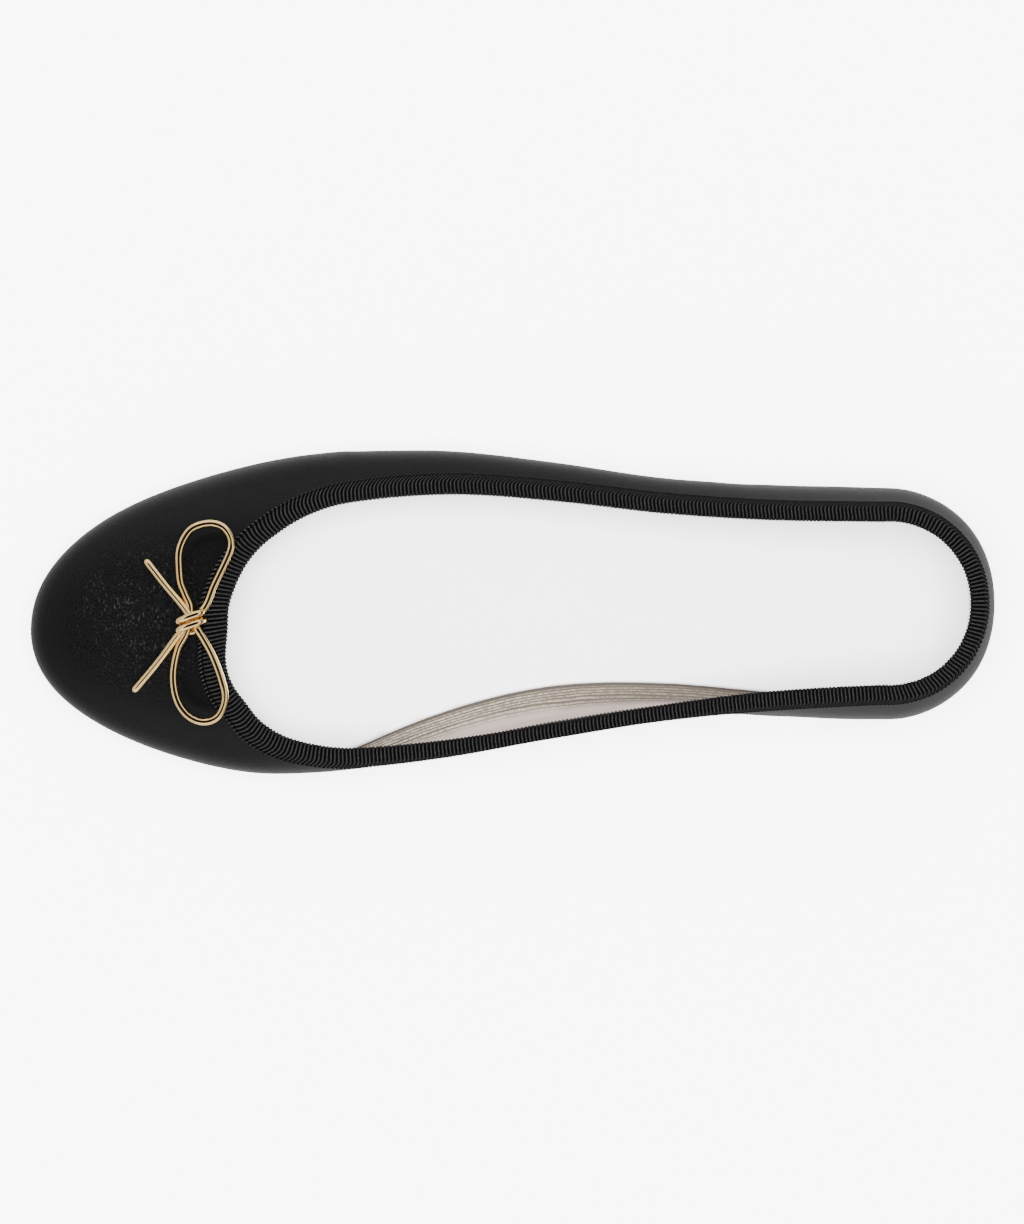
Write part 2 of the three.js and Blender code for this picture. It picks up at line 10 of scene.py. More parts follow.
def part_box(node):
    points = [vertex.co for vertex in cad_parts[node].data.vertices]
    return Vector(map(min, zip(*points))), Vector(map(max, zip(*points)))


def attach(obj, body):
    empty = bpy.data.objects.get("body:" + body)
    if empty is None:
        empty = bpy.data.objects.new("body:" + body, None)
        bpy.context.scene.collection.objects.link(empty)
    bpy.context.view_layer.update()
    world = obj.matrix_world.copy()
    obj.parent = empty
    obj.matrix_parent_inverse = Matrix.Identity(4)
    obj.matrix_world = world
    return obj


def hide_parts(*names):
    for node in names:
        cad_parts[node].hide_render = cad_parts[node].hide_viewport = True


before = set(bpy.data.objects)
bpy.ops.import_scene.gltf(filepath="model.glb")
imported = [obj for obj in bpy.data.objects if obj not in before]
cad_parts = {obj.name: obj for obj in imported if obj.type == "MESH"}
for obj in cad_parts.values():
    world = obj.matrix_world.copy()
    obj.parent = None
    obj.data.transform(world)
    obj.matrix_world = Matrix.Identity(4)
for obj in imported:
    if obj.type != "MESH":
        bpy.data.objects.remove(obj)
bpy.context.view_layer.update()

# The leather upper: one piece of soft black nappa, pulled over the last while damp and closed by a seam
# at the back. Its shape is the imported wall's, made smooth. It is the outer half of that wall, and the
# lining is the inner half.
MM = 0.001
TOE_REACH = 80 * MM
HEEL_REACH = 30 * MM
HALF_BALL = 41.5 * MM
HALF_HEEL = 29.5 * MM
MIDDLE_Y = -2.155 * MM  # the line from the heel's centre to the ball's
TOE_SECTIONS = 26
SIDE_SECTIONS = 14
HEEL_SECTIONS = 14
SECTIONS = TOE_SECTIONS + HEEL_SECTIONS + 2 * SIDE_SECTIONS
TOP_RING = 11  # rings of the wall's points go up the outside to the topline, and down the inside
RINGS = 24
LEATHER_SHARE = 0.5  # of the wall's thickness
NEAR = 1 * MM
SAME_POINT = 0.002 * MM
SMOOTH_LEVELS = 2
SMOOTH_ROUNDS = 4

upper_low, upper_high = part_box("upper")
ball_x = upper_high.x - TOE_REACH
heel_x = upper_low.x + HEEL_REACH


def reach_of(point):
    """How far a point is from the shoe's middle line, across the floor."""
    beyond = max(point.x - ball_x, heel_x - point.x, 0)
    return math.hypot(beyond, point.y - MIDDLE_Y)


def section_of(point):
    """Which of the wall's upright sections a point is in, counted from the outer ball round the toe."""
    across = point.y - MIDDLE_Y
    if point.x > ball_x + NEAR:
        turn = math.atan2(across / HALF_BALL, (point.x - ball_x) / TOE_REACH)
        return round((turn / math.pi + 0.5) * TOE_SECTIONS) % SECTIONS
    if point.x < heel_x - NEAR:
        turn = math.atan2(-across / HALF_HEEL, (heel_x - point.x) / HEEL_REACH)
        return TOE_SECTIONS + SIDE_SECTIONS + round((turn / math.pi + 0.5) * HEEL_SECTIONS)
    run = round((ball_x - point.x) / (ball_x - heel_x) * SIDE_SECTIONS)
    return (TOE_SECTIONS + run if across > 0 else SECTIONS - run) % SECTIONS


def copy_of(node):
    """A CAD node's mesh with its loose triangles joined."""
    mesh = bmesh.new()
    mesh.from_mesh(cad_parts[node].data)
    bmesh.ops.remove_doubles(mesh, verts=mesh.verts, dist=SAME_POINT)
    return mesh


def wall_mesh():
    """The upper's wall in four-sided faces. Each point keeps its section and its ring."""
    mesh = copy_of("upper")
    section = mesh.verts.layers.int.new("section")
    ring = mesh.verts.layers.int.new("ring")
    for vert in mesh.verts:
        vert[section] = section_of(vert.co)
    for number in range(SECTIONS):
        points = [vert for vert in mesh.verts if vert[section] == number]
        lowest = min(vert.co.z for vert in points)
        foot = [vert for vert in points if vert.co.z < lowest + NEAR]
        here = max(foot, key=lambda vert: reach_of(vert.co))
        seen = set()
        for count in range(RINGS):
            here[ring] = count
            seen.add(here)
            beside = [edge.other_vert(here) for edge in here.link_edges]
            ahead = [vert for vert in beside if vert[section] == number and vert not in seen]
            if ahead:
                here = max(ahead, key=lambda vert: vert.co.z)
    diagonals = []
    for edge in mesh.edges:
        first, last = edge.verts
        if first[section] != last[section] and first[ring] != last[ring]:
            diagonals.append(edge)
    bmesh.ops.dissolve_edges(mesh, edges=diagonals)
    return mesh, section, ring


def wall_points(mesh, section, ring):
    """The wall's points by section and ring."""
    points = np.zeros((SECTIONS, RINGS, 3))
    for vert in mesh.verts:
        points[vert[section], vert[ring]] = vert.co
    return points


def half_wall(outer_share, inner_share):
    """A layer of the wall between two shares of its thickness, with its borders kept sharp."""
    mesh, section, ring = wall_mesh()
    points = wall_points(mesh, section, ring)
    for vert in mesh.verts:
        number = vert[ring]
        outer = min(number, RINGS - 1 - number)
        share = outer_share if number <= TOP_RING else inner_share
        start = points[vert[section], outer]
        end = points[vert[section], RINGS - 1 - outer]
        vert.co = Vector(start + (end - start) * share)
    crease = mesh.edges.layers.float.new("crease_edge")
    borders = {0, TOP_RING, TOP_RING + 1, RINGS - 1}
    for edge in mesh.edges:
        first, last = edge.verts
        if first[ring] == last[ring] and first[ring] in borders:
            edge[crease] = 1
    return mesh, section, ring


def piece_from(mesh, name):
    """A smooth-shaded object from a bmesh, riding on the shoe."""
    data = bpy.data.meshes.new(name)
    mesh.to_mesh(data)
    mesh.free()
    data.shade_smooth()
    piece = bpy.data.objects.new(name, data)
    bpy.context.scene.collection.objects.link(piece)
    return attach(piece, "root")


def smooth_through(piece):
    """Rounds a piece with a subdivision surface through its corners, and keeps the result as its mesh."""
    surface = piece.modifiers.new("smooth", "SUBSURF")
    surface.levels = SMOOTH_LEVELS
    surface.render_levels = SMOOTH_LEVELS
    surface.uv_smooth = "NONE"
    aims = [vert.co.copy() for vert in piece.data.vertices]
    for _ in range(SMOOTH_ROUNDS):
        shown = piece.evaluated_get(bpy.context.evaluated_depsgraph_get()).data
        steps = [aim - shown.vertices[number].co for number, aim in enumerate(aims)]
        for vert, step in zip(piece.data.vertices, steps):
            vert.co += step
        piece.data.update()
    smoothed = piece.evaluated_get(bpy.context.evaluated_depsgraph_get())
    piece.data = bpy.data.meshes.new_from_object(smoothed)
    piece.modifiers.clear()
    piece.data.shade_smooth()


mesh, section, ring = wall_mesh()
wall = wall_points(mesh, section, ring)
mesh.free()
mesh, section, ring = half_wall(0, LEATHER_SHARE)
leather = piece_from(mesh, "leather_upper")
smooth_through(leather)

# Soft creases, each from one end to the other as x, y and z in millimetres, with its depth and half width.
CREASES = [
    {"start": (46, 40, 14), "end": (38, 36, 26), "depth": 0.14, "width": 2.6},
    {"start": (38, 40, 12), "end": (32, 37, 22), "depth": 0.12, "width": 2.2},
    {"start": (50, -40, 14), "end": (43, -36, 25), "depth": 0.12, "width": 2.6},
    {"start": (40, -41, 12), "end": (35, -38, 21), "depth": 0.1, "width": 2.2},
    {"start": (-52, 28, 12), "end": (-62, 27, 32), "depth": 0.15, "width": 4},
    {"start": (-52, -30, 12), "end": (-62, -29, 32), "depth": 0.15, "width": 4},
    {"start": (100, 22, 26), "end": (100, -22, 26), "depth": -0.12, "width": 5},
]
CREASE_FADE = 0.3  # how far a crease runs on past each end, as a share of its length
RIDGE_SHARE = 0.35  # a ridge's height, as a share of the crease's depth
RIDGE_OFF = 1.9  # how far a ridge is from the crease's middle, in half widths


def press_creases(piece, creases):
    """Presses each crease into a piece as a trough with a low ridge on each side."""
    tree = BVHTree.FromObject(piece, bpy.context.evaluated_depsgraph_get())
    steps = [Vector((0, 0, 0)) for _ in piece.data.vertices]
    for crease in creases:
        start = tree.find_nearest(Vector(crease["start"]) * MM)[0]
        end = tree.find_nearest(Vector(crease["end"]) * MM)[0]
        along = end - start
        width = crease["width"] * MM
        for number, vert in enumerate(piece.data.vertices):
            share = (vert.co - start).dot(along) / along.length_squared
            if not -CREASE_FADE < share < 1 + CREASE_FADE:
                continue
            off = (vert.co - start - along * share).length / width
            fade = math.cos(math.pi * abs(share - 0.5) / (1 + 2 * CREASE_FADE)) ** 2
            depth = math.exp(-(off**2)) - RIDGE_SHARE * math.exp(-((off - RIDGE_OFF) ** 2))
            steps[number] -= vert.normal * (crease["depth"] * MM * fade * depth)
    for vert, step in zip(piece.data.vertices, steps):
        vert.co += step
    piece.data.update()


press_creases(leather, CREASES)
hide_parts("upper")


def add_node(tree, kind, inputs, **options):
    """Adds a shader node. An input is a plain value, or another node's output that is linked to it."""
    node = tree.nodes.new("ShaderNode" + kind)
    for name, value in options.items():
        setattr(node, name, value)
    for name, value in inputs.items():
        if isinstance(value, bpy.types.NodeSocket):
            tree.links.new(value, node.inputs[name])
        else:
            node.inputs[name].default_value = value
    return node


def maths(tree, operation, *values):
    """The result of one Math node."""
    return add_node(tree, "Math", dict(enumerate(values)), operation=operation).outputs[0]


def noise(tree, place, scale, detail):
    """An uneven value between 0 and 1, with so many swells to the metre."""
    inputs = {"Vector": place, "Scale": scale, "Detail": detail}
    return add_node(tree, "TexNoise", inputs).outputs["Fac"]


def between(tree, share, low, high):
    """A colour between two others."""
    return add_node(tree, "Mix", {0: share, 6: low, 7: high}, data_type="RGBA").outputs[2]


def spread(tree, value, from_low, from_high, to_low, to_high):
    """A value moved from one range to another and kept within it."""
    ranges = {0: value, 1: from_low, 2: from_high, 3: to_low, 4: to_high}
    return add_node(tree, "MapRange", ranges, clamp=True).outputs[0]


def new_material(name, piece):
    """An empty material on a piece: its node tree and the shader's own node."""
    material = bpy.data.materials.new(name)
    material.use_nodes = True
    tree = material.node_tree
    piece.data.materials.clear()
    piece.data.materials.append(material)
    return tree, tree.nodes["Principled BSDF"]


def add_bump(tree, shader, height, strength, distance):
    """Makes the surface look uneven by a height."""
    inputs = {"Height": height, "Strength": strength, "Distance": distance}
    tree.links.new(add_node(tree, "Bump", inputs).outputs[0], shader.inputs["Normal"])


def skin_grain():
    """Leather's grain: small uneven cells with fine furrows between them, and pores."""
    group = bpy.data.node_groups.new("skin_grain", "ShaderNodeTree")
    group.interface.new_socket("Vector", in_out="INPUT", socket_type="NodeSocketVector")
    group.interface.new_socket("Cells", in_out="INPUT", socket_type="NodeSocketFloat")
    group.interface.new_socket("Height", in_out="OUTPUT", socket_type="NodeSocketFloat")
    entry = group.nodes.new("NodeGroupInput")
    exit_node = group.nodes.new("NodeGroupOutput")
    vector = entry.outputs["Vector"]
    cells = entry.outputs["Cells"]
    wide = {"Vector": vector, "Scale": maths(group, "MULTIPLY", cells, 0.6), "Detail": 2}
    wobble = add_node(group, "TexNoise", wide).outputs["Color"]
    offset = add_node(group, "VectorMath", {0: wobble, "Scale": 0.6 * MM}, operation="SCALE")
    moved = add_node(group, "VectorMath", {0: vector, 1: offset.outputs[0]}, operation="ADD")
    uneven = {"Vector": moved.outputs[0], "Scale": cells}
    furrows = add_node(group, "TexVoronoi", uneven, feature="DISTANCE_TO_EDGE")
    domes = spread(group, furrows.outputs["Distance"], 0, 0.22, 0, 1)
    pores = noise(group, vector, maths(group, "MULTIPLY", cells, 3.5), 3)
    height = maths(group, "MULTIPLY_ADD", pores, 0.5, domes)
    group.links.new(height, exit_node.inputs["Height"])
    return group


grain_group = skin_grain()


def grain_height(tree, vector, cells):
    """Places the grain in a material, with so many cells to the metre."""
    inputs = {"Vector": vector, "Cells": cells}
    return add_node(tree, "Group", inputs, node_tree=grain_group).outputs["Height"]


SEAM_HALF_WIDTH = 1.1 * MM
SEAM_DEPTH = 3  # in heights of the grain
SEAM_FADE = 3 * MM
GRAIN_CENTRE = (94 * MM, 1 * MM, 34 * MM)  # the grain opens up where the vamp is stretched least
GRAIN_FULL = 9 * MM  # within this distance of the centre it is at its coarsest
GRAIN_FINE = 26 * MM  # and beyond this one at its finest
GLINTS_FULL = 8 * MM  # the same for the painted glints, light specks of painted highlight between the cells
GLINTS_END = 24 * MM
GLINT_STRETCH = (1, 0.45, 0.8)  # below 1 the painted glints are drawn out that way
NAPPA_DARK = (0.0008, 0.0008, 0.001, 1)
NAPPA_LIGHT = (0.0016, 0.0016, 0.0018, 1)
NAPPA_PAINTED_GLINT = (0.013, 0.013, 0.0136, 1)

tree, shader = new_material("black_nappa", leather)
place = add_node(tree, "TexCoord", {}).outputs["Object"]
axes = add_node(tree, "SeparateXYZ", {0: place})
off_seam = maths(tree, "ABSOLUTE", maths(tree, "SUBTRACT", axes.outputs["Y"], MIDDLE_Y))
seam = spread(tree, off_seam, 0, SEAM_HALF_WIDTH, 1, 0)
at_back = spread(tree, axes.outputs["X"], heel_x - SEAM_FADE, heel_x, 1, 0)
groove = maths(tree, "MULTIPLY", seam, at_back)
apart = add_node(tree, "VectorMath", {0: place, 1: GRAIN_CENTRE}, operation="DISTANCE")
from_centre = apart.outputs["Value"]
coarse = spread(tree, from_centre, GRAIN_FULL, GRAIN_FINE, 1, 0.12)
grain = maths(tree, "MULTIPLY", grain_height(tree, place, 1150), coarse)
height = maths(tree, "SUBTRACT", grain, maths(tree, "MULTIPLY", groove, SEAM_DEPTH))
# Painted highlight: light specks in the base colour round the vamp's middle, where the grain would catch
# the light.
drawn_out = add_node(tree, "VectorMath", {0: place, 1: GLINT_STRETCH}, operation="MULTIPLY").outputs[0]
marks = spread(tree, noise(tree, drawn_out, 2300, 1), 0.58, 0.7, 0, 1)
broken = spread(tree, noise(tree, place, 260, 2), 0.4, 0.6, 0.15, 1)
fading = spread(tree, from_centre, GLINTS_FULL, GLINTS_END, 1, 0)
painted_glints = maths(tree, "MULTIPLY", maths(tree, "MULTIPLY", marks, broken), fading)
colour = between(tree, noise(tree, place, 38, 4), NAPPA_DARK, NAPPA_LIGHT)
tree.links.new(between(tree, painted_glints, colour, NAPPA_PAINTED_GLINT), shader.inputs["Base Color"])
tree.links.new(spread(tree, grain, 0.2, 1.2, 0.4, 0.3), shader.inputs["Roughness"])
add_bump(tree, shader, height, 0.7, 0.2 * MM)
shader.inputs["Specular IOR Level"].default_value = 0.11

# The lining: a woven twill tape that is stuck round the foot of the wall, over a smooth beige backing.
# It fills the inner half of the wall, and its weave follows the wall round the shoe.
INSOLE_THICKNESS = 2.4 * MM
FOOT_RINGS = 4  # the rings from the wall's foot up that the insole's top lies between
ROW_PITCH = 0.9 * MM
ROW_DRIFT = 0.4 * MM
THREAD_PITCH = 0.7 * MM
THREAD_LEAN = 0.5
TAPE_LOW = 6.5 * MM  # the tape gives way to the backing between these heights over the insole
TAPE_HIGH = 10 * MM
TAPE_DRIFT = 4 * MM  # how much lower than that its uneven edge may come
FOOT_SHADE = 0.3 * MM
SHADE_FULL = -35 * MM  # behind this x the tape is at its darkest
SHADE_NONE = 15 * MM  # and ahead of this one at its lightest
TAPE_ROWS = (0.4, 0.35, 0.28, 1)
TAPE_ROWS_SHADED_AT_HEEL = (0.2, 0.17, 0.14, 1)
TAPE_GAPS = (0.06, 0.049, 0.037, 1)
TAPE_FOOT_SHADE = (0.05, 0.042, 0.036, 1)
BACKING_DARK = (0.29, 0.235, 0.21, 1)
BACKING_LIGHT = (0.35, 0.285, 0.26, 1)

mesh, section, ring = half_wall(LEATHER_SHARE, 1)
inner = wall[:, RINGS - 1 : TOP_RING : -1]
up_steps = np.linalg.norm(np.diff(inner, axis=1), axis=2)
up_wall = np.hstack([np.zeros((SECTIONS, 1)), np.cumsum(up_steps, axis=1)])
insole_line = [
    np.interp(heights[0] + INSOLE_THICKNESS, heights[:FOOT_RINGS], distances[:FOOT_RINGS])
    for heights, distances in zip(inner[:, :, 2], up_wall)
]
rim = wall[:, TOP_RING]
round_steps = np.linalg.norm(np.roll(rim, -1, axis=0) - rim, axis=1)
round_wall = np.concatenate([[0], np.cumsum(round_steps)])

flat = mesh.loops.layers.uv.new("weave")
for face in mesh.faces:
    numbers = [loop.vert[section] for loop in face.loops]
    closes = max(numbers) - min(numbers) > 1
    for loop, number in zip(face.loops, numbers):
        step = RINGS - 1 - max(loop.vert[ring], TOP_RING + 1)
        along = round_wall[SECTIONS if closes and number == 0 else number]
        loop[flat].uv = (along, up_wall[number, step] - insole_line[number])
lining = piece_from(mesh, "lining")
smooth_through(lining)


def waves(tree, value, pitch):
    """A wave between -1 and 1 that repeats with a pitch."""
    return maths(tree, "SINE", maths(tree, "MULTIPLY", value, 2 * math.pi / pitch))


tree, shader = new_material("beige_lining", lining)
coordinates = add_node(tree, "TexCoord", {})
place = coordinates.outputs["Object"]
axes = add_node(tree, "SeparateXYZ", {0: coordinates.outputs["UV"]})
along = axes.outputs["X"]
above = axes.outputs["Y"]
drifted = maths(tree, "MULTIPLY_ADD", noise(tree, place, 160, 2), ROW_DRIFT, above)
rows = spread(tree, waves(tree, drifted, ROW_PITCH), -0.6, 0.5, 0, 1)
shifted = maths(tree, "MULTIPLY_ADD", above, THREAD_LEAN, along)
threads = spread(tree, waves(tree, shifted, THREAD_PITCH), -0.5, 0.6, 0.55, 1)
beads = spread(tree, noise(tree, place, 1300, 1), 0.38, 0.6, 0.35, 1)
weave = maths(tree, "MULTIPLY", maths(tree, "MULTIPLY", rows, threads), beads)
patches = noise(tree, place, 45, 5)
tape_edge = maths(tree, "MULTIPLY_ADD", patches, TAPE_DRIFT, above)
plain = spread(tree, tape_edge, TAPE_LOW, TAPE_HIGH, 0, 1)
ahead = add_node(tree, "SeparateXYZ", {0: place}).outputs["X"]
# Painted shade: the tape's rows are darker towards the heel.
at_heel = spread(tree, ahead, SHADE_FULL, SHADE_NONE, 1, 0)
woven = between(tree, weave, TAPE_GAPS, between(tree, at_heel, TAPE_ROWS, TAPE_ROWS_SHADED_AT_HEEL))
# Painted shade: a thin dark line along the foot of the tape, next to the insole's edge.
woven = between(tree, spread(tree, above, 0, FOOT_SHADE, 0, 1), TAPE_FOOT_SHADE, woven)
smooth = between(tree, patches, BACKING_DARK, BACKING_LIGHT)
tree.links.new(between(tree, plain, woven, smooth), shader.inputs["Base Color"])
weave_height = maths(tree, "MULTIPLY", weave, maths(tree, "SUBTRACT", 1, plain))
add_bump(tree, shader, weave_height, 0.6, 0.2 * MM)
shader.inputs["Roughness"].default_value = 0.8

# The binding: black grosgrain ribbon, folded in half over the topline and stuck down on both faces of
# the wall. It is woven flat with a rib for every few threads, and the edge that shows on the outside
# ends in a row of small chained loops.
RIBBON = 0.6 * MM
RIBBON_GAP = 0.3 * MM
LEG = 6.5 * MM
FOLD = 2.3 * MM  # from the middle of the fold to where a leg starts
FOLD_FULLNESS = 0.8  # below 1 the fold is fuller than a half circle
RIB_PITCH = 0.98 * MM
RIB_HEIGHT = 0.3 * MM
RIB_PROFILE = [0, 0.8, 1, 0.8]  # the heights across one rib, as shares of its full height
FAR_ROWS = 22  # rows of faces across the ribbon on its outer face
NEAR_ROWS = 4  # and on its inner face, which is hidden
LEAN = 4.6 * MM  # how far a rib's outer end is pulled round the shoe: towards the heel on the outer side
SWAY = 0.8 * MM  # how far its middle is pulled the other way
LEAN_AHEAD = 0.4  # the share of both that is left ahead of the ball
OUTER_TUCK = 0.42  # the share of the outer leg that is turned in on the outer side
INNER_TUCK = 0.2  # on the inner side
HEEL_TUCK = 0.33  # and round the heel
SIDE_REACH = 25 * MM  # so far out across the shoe, the ribbon runs along its side
HEEL_BLEND = 20 * MM
SELVAGE = 1.2 * MM
SELVAGE_RISE = 1.3  # the loops stand higher than the ribs
HOOK = 0.5 * MM
LOOP_REACH = 0.35 * MM
EDGE_DROP = 0.4 * MM
ROUND_SAMPLES = 12


def on_curve(points, where):
    """Points on a smooth closed curve through others. A whole number is a point of the curve itself."""
    count = len(points)
    start = np.floor(where).astype(int)
    share = (where - start).reshape((-1,) + (1,) * (points.ndim - 1))
    before, first, last, after = (points[(start + step) % count] for step in (-1, 0, 1, 2))
    bend = 2 * before - 5 * first + 4 * last - after
    twist = 3 * (first - last) + after - before
    return first + 0.5 * share * (last - before + share * (bend + share * twist))


def across_ribbon(rows, place, narrowing=0):
    """A point of the ribbon's outer face on each section.

    The place is its distance from the middle of the fold, which is above 0 on the shoe's outside.
    """
    off = RIBBON_GAP + RIBBON
    tops = rows[:, TOP_RING], rows[:, TOP_RING + 1]
    outward = tops[0] - tops[1]
    outward /= np.linalg.norm(outward, axis=1, keepdims=True)
    onward = tops[0] - rows[:, TOP_RING - 1]
    onward /= np.linalg.norm(onward, axis=1, keepdims=True)
    side = 1 if place >= 0 else -1
    down = abs(place) - FOLD
    if down < 0:
        turn = abs(place) / FOLD * math.pi / 2
        half = np.linalg.norm(tops[0] - tops[1], axis=1, keepdims=True) / 2 + off
        middle = (tops[0] + tops[1]) / 2
        rise = onward * off * math.cos(turn) ** FOLD_FULLNESS
        return middle + outward * half * math.sin(turn) * side + rise
    first_ring = TOP_RING if side > 0 else TOP_RING + 1
    top, middle, end = (rows[:, first_ring - side * step] for step in range(3))
    share = down / (LEG / 2) * (1 - narrowing)
    on_wall = top * (1 - share) * (1 - share / 2)
    on_wall = on_wall + middle * share * (2 - share) + end * share * (share - 1) / 2
    return on_wall + outward * off * side


fine = on_curve(wall, np.arange(SECTIONS * ROUND_SAMPLES) / ROUND_SAMPLES)
crest = across_ribbon(fine, 0)
steps = np.linalg.norm(np.roll(crest, -1, axis=0) - crest, axis=1)
travelled = np.concatenate([[0], np.cumsum(steps)])
ribs = round(travelled[-1] / RIB_PITCH)
stations = ribs * len(RIB_PROFILE)
half_width = FOLD + LEG
far_places = np.linspace(half_width, -half_width, FAR_ROWS + 1)
near_places = np.linspace(-half_width, half_width, NEAR_ROWS + 1)


def ribbon_grid():
    """The ribbon's points by station and row: its outer face, then its inner face back again."""
    evenly = np.arange(stations) / stations * travelled[-1]
    ahead = np.interp(evenly, travelled[:-1], crest[:, 0])
    sideways = np.clip(np.interp(evenly, travelled[:-1], crest[:, 1]) / SIDE_REACH, -1, 1)
    aside = np.abs(sideways)
    behind = np.interp(ahead, [0, ball_x], [1, LEAN_AHEAD])
    at_heel = np.interp(ahead, [heel_x, heel_x + HEEL_BLEND], [1, 0])
    side_tuck = np.where(sideways < 0, OUTER_TUCK, INNER_TUCK)
    tucked = side_tuck * aside * (1 - at_heel) + HEEL_TUCK * at_heel
    profile = np.resize(RIB_PROFILE, stations)
    far = []
    for place in far_places:
        outward = max(place, 0) / half_width
        hook = HOOK * max(place - half_width + SELVAGE, 0) / SELVAGE
        shift = LEAN * outward**2 - SWAY * math.sin(math.pi * outward)
        moved = (evenly - aside * behind * shift + hook) % travelled[-1]
        where = np.interp(moved, travelled, np.arange(len(travelled)) / ROUND_SAMPLES)
        narrowing = tucked[:, None] if place > 0 else 0
        far.append(across_ribbon(on_curve(wall, where), place, narrowing))
    far = np.stack(far, axis=1)
    along = np.roll(far, -len(RIB_PROFILE), axis=0) - np.roll(far, len(RIB_PROFILE), axis=0)
    normal = np.cross(along, np.gradient(far, axis=1))
    normal /= np.linalg.norm(normal, axis=2, keepdims=True)
    back = np.linspace(FAR_ROWS, 0, NEAR_ROWS + 1).round().astype(int)
    near = (far - normal * RIBBON)[:, back]
    loops = np.abs(far_places) > half_width - SELVAGE
    rise = RIB_HEIGHT * profile[:, None] * np.where(loops, SELVAGE_RISE, 1)
    rise[:, [0, -1]] -= EDGE_DROP
    far = far + normal * rise[:, :, None]
    edge = far[:, 0] - far[:, 1]
    edge /= np.linalg.norm(edge, axis=1, keepdims=True)
    far[:, 0] += edge * (LOOP_REACH * profile)[:, None]
    return np.concatenate([far, near], axis=1)


grid = ribbon_grid()
places = np.concatenate([far_places, near_places])
rows_round = len(places)
mesh = bmesh.new()
flat = mesh.loops.layers.uv.new("ribbon")
bmesh.ops.create_grid(mesh, x_segments=stations, y_segments=rows_round, size=0.5)
for face in mesh.faces:
    for loop in face.loops:
        station = round((loop.vert.co.x + 0.5) * stations)
        row = round((loop.vert.co.y + 0.5) * rows_round)
        loop[flat].uv = (station / len(RIB_PROFILE) * RIB_PITCH, places[row % rows_round])
for vert in mesh.verts:
    station = round((vert.co.x + 0.5) * stations) % stations
    row = round((vert.co.y + 0.5) * rows_round) % rows_round
    vert.co = Vector(grid[station, row])
bmesh.ops.remove_doubles(mesh, verts=mesh.verts, dist=SAME_POINT)
bmesh.ops.recalc_face_normals(mesh, faces=mesh.faces)
ribbon = piece_from(mesh, "ribbon_binding")
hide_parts("binding")

CHAIN_START = half_width - SELVAGE
CHAIN_FADE = 0.2 * MM
CHAIN_GAP = 0.1 * MM  # half the width of the dark line between the ribs and the loops, where the painted crest highlight is left out
CHAIN_GAP_FADE = 0.45 * MM  # and how far from its middle it has faded out
INSIDE_LEG = -2.2 * MM  # from here inwards the ribbon has the inside leg's brownish tone
INSIDE_FADE = -0.6 * MM  # which sets in here, a little over the fold
GROSGRAIN = (0.0007, 0.0007, 0.0007, 1)
GROSGRAIN_CREST_HIGHLIGHT = (0.018, 0.018, 0.0185, 1)
GROSGRAIN_LOOP_HIGHLIGHT = (0.032, 0.032, 0.033, 1)
GROSGRAIN_INSIDE = (0.0022, 0.0015, 0.0014, 1)

tree, shader = new_material("black_grosgrain", ribbon)
coordinates = add_node(tree, "TexCoord", {})
axes = add_node(tree, "SeparateXYZ", {0: coordinates.outputs["UV"]})
across = axes.outputs["Y"]
# Painted highlight: the rib crests and the chained loops get a lighter colour than the valleys, where
# light would catch them.
turned = maths(tree, "MULTIPLY", axes.outputs["X"], 2 * math.pi / RIB_PITCH)
crest_highlight_mask = spread(tree, maths(tree, "COSINE", turned), -0.9, -0.2, 1, 0)
threads = noise(tree, coordinates.outputs["Object"], 3200, 2)
off_gap = maths(tree, "ABSOLUTE", maths(tree, "SUBTRACT", across, CHAIN_START))
gapped_crest_highlight = maths(tree, "MULTIPLY", crest_highlight_mask, spread(tree, off_gap, CHAIN_GAP, CHAIN_GAP_FADE, 0.05, 1))
painted_crest_highlight = maths(tree, "MULTIPLY", gapped_crest_highlight, spread(tree, threads, 0.35, 0.65, 0.4, 1))
chain = spread(tree, across, CHAIN_START, CHAIN_START + CHAIN_FADE, 0, 1)
crest_highlight_colour = between(tree, chain, GROSGRAIN_CREST_HIGHLIGHT, GROSGRAIN_LOOP_HIGHLIGHT)
inside_leg = spread(tree, across, INSIDE_LEG, INSIDE_FADE, 1, 0)
colour = between(tree, inside_leg, between(tree, painted_crest_highlight, GROSGRAIN, crest_highlight_colour), GROSGRAIN_INSIDE)
tree.links.new(colour, shader.inputs["Base Color"])
tree.links.new(spread(tree, painted_crest_highlight, 0, 1, 0.9, 0.6), shader.inputs["Roughness"])
add_bump(tree, shader, threads, 0.5, 0.05 * MM)
shader.inputs["Specular IOR Level"].default_value = 0.05

# The insole: a sock of off-white leather, glued on its board and trimmed a little inside the wall.
# Its edge is cut square and softly rounded over.
SHARP = math.radians(30)
SOCK_SPREAD = 0.3 * MM
SOCK_DARK = (0.93, 0.92, 0.945, 1)
SOCK_LIGHT = (0.965, 0.955, 0.965, 1)


